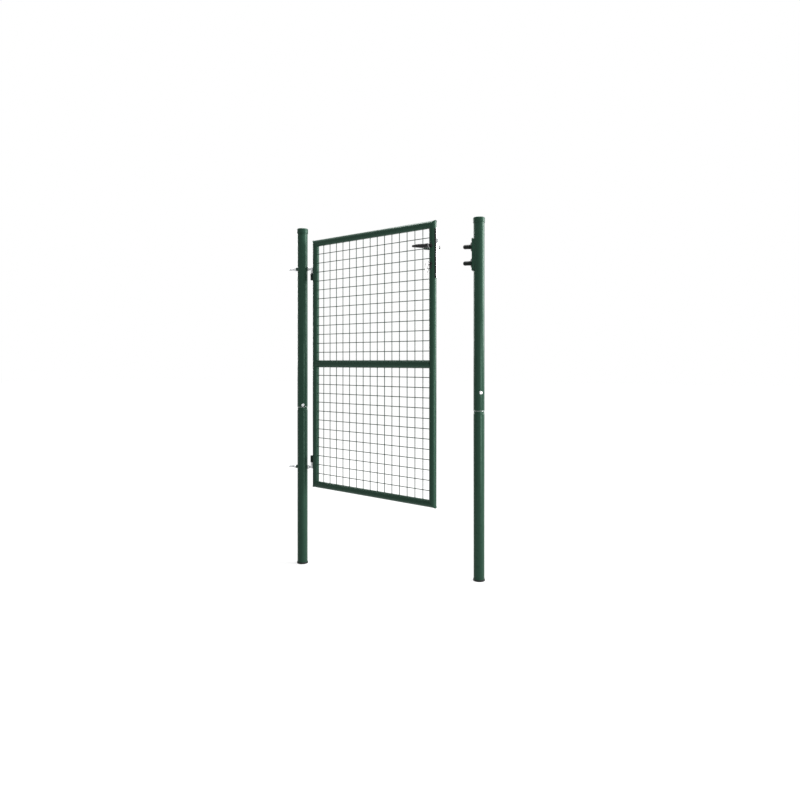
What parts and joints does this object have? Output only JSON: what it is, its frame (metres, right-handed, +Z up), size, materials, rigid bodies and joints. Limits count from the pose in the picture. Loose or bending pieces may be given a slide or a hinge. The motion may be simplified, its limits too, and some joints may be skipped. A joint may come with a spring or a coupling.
{
  "type": "garden gate",
  "caption": "Garden gate of welded wire mesh in a round-tube frame, hung on threaded pintles between two round posts, with a lever lock and a striker with stop pins.",
  "frame": {"origin": "centre of the hinge post's foot at ground level", "axes": "+Z up, +X from the hinge post to the latch post, -Y the side the leaf opens to; the leaf is drawn 22.4 degrees open"},
  "size_m": [1.1283, 0.4366, 1.9],
  "materials": {
    "green_coat": "gloss",
    "zinc": "satin",
    "black_coat": "gloss",
    "black_nylon": "matte",
    "black_plastic": "matte",
    "black_rubber": "matte",
    "bright_steel": "polished"
  },
  "bodies": {
    "posts": {"hinge_post_lower": "green_coat", "hinge_post_upper": "green_coat", "hinge_post_cap": "green_coat", "hinge_post_foot": "black_plastic", "hinge_post_bolt": "zinc", "latch_post_lower": "green_coat", "latch_post_upper": "green_coat", "latch_post_cap": "green_coat", "latch_post_foot": "black_plastic", "latch_post_bolt": "zinc", "upper_pintle": "zinc", "lower_pintle": "zinc", "upper_hinge_nuts": "zinc", "lower_hinge_nuts": "zinc", "upper_saddle": "green_coat", "lower_saddle": "green_coat", "striker_plate": "green_coat", "striker_screws": "green_coat", "upper_stop_pin": "black_rubber", "lower_stop_pin": "black_rubber", "stop_pin_flanges": "green_coat"},
    "leaf": {"upper_socket": "black_coat", "lower_socket": "black_coat", "hinge_stile": "green_coat", "latch_stile": "green_coat", "top_rail": "green_coat", "middle_rail": "green_coat", "bottom_rail": "green_coat", "upper_mesh": "green_coat", "lower_mesh": "green_coat", "lock_case": "black_plastic", "lock_face_plate": "zinc", "face_plate_screws": "zinc", "lock_cylinder": "black_plastic", "front_rose": "black_nylon", "back_rose": "black_nylon", "key": "bright_steel", "key_ring": "bright_steel", "spare_key": "bright_steel"},
    "handle": {"front_lever": "black_nylon", "back_lever": "black_nylon", "spindle": "zinc"},
    "bolt": {"latch_bolt": "zinc"}
  },
  "joints": [
    {"name": "leaf_swing", "type": "hinge", "parent": "posts", "child": "leaf", "pos_m": [0.06, 0, 0.575], "axis": [0, 0, 1], "range_deg": [-67.6, 22.4]},
    {"name": "lever_turn", "type": "hinge", "parent": "leaf", "child": "handle", "pos_m": [0.85049, -0.32582, 1.705], "axis": [-0.3811, -0.9245, 0], "range_deg": [0, 40], "stiffness_Nm_per_rad": 1, "springref_deg": -14.9},
    {"name": "bolt_slide", "type": "slide", "parent": "leaf", "child": "bolt", "axis": [0.9245, -0.3811, 0], "range_m": [-0.008, 0]}
  ],
  "couplings": [
    {"joint": "bolt_slide", "follows": "lever_turn", "m_per_rad": -0.011459}
  ]
}
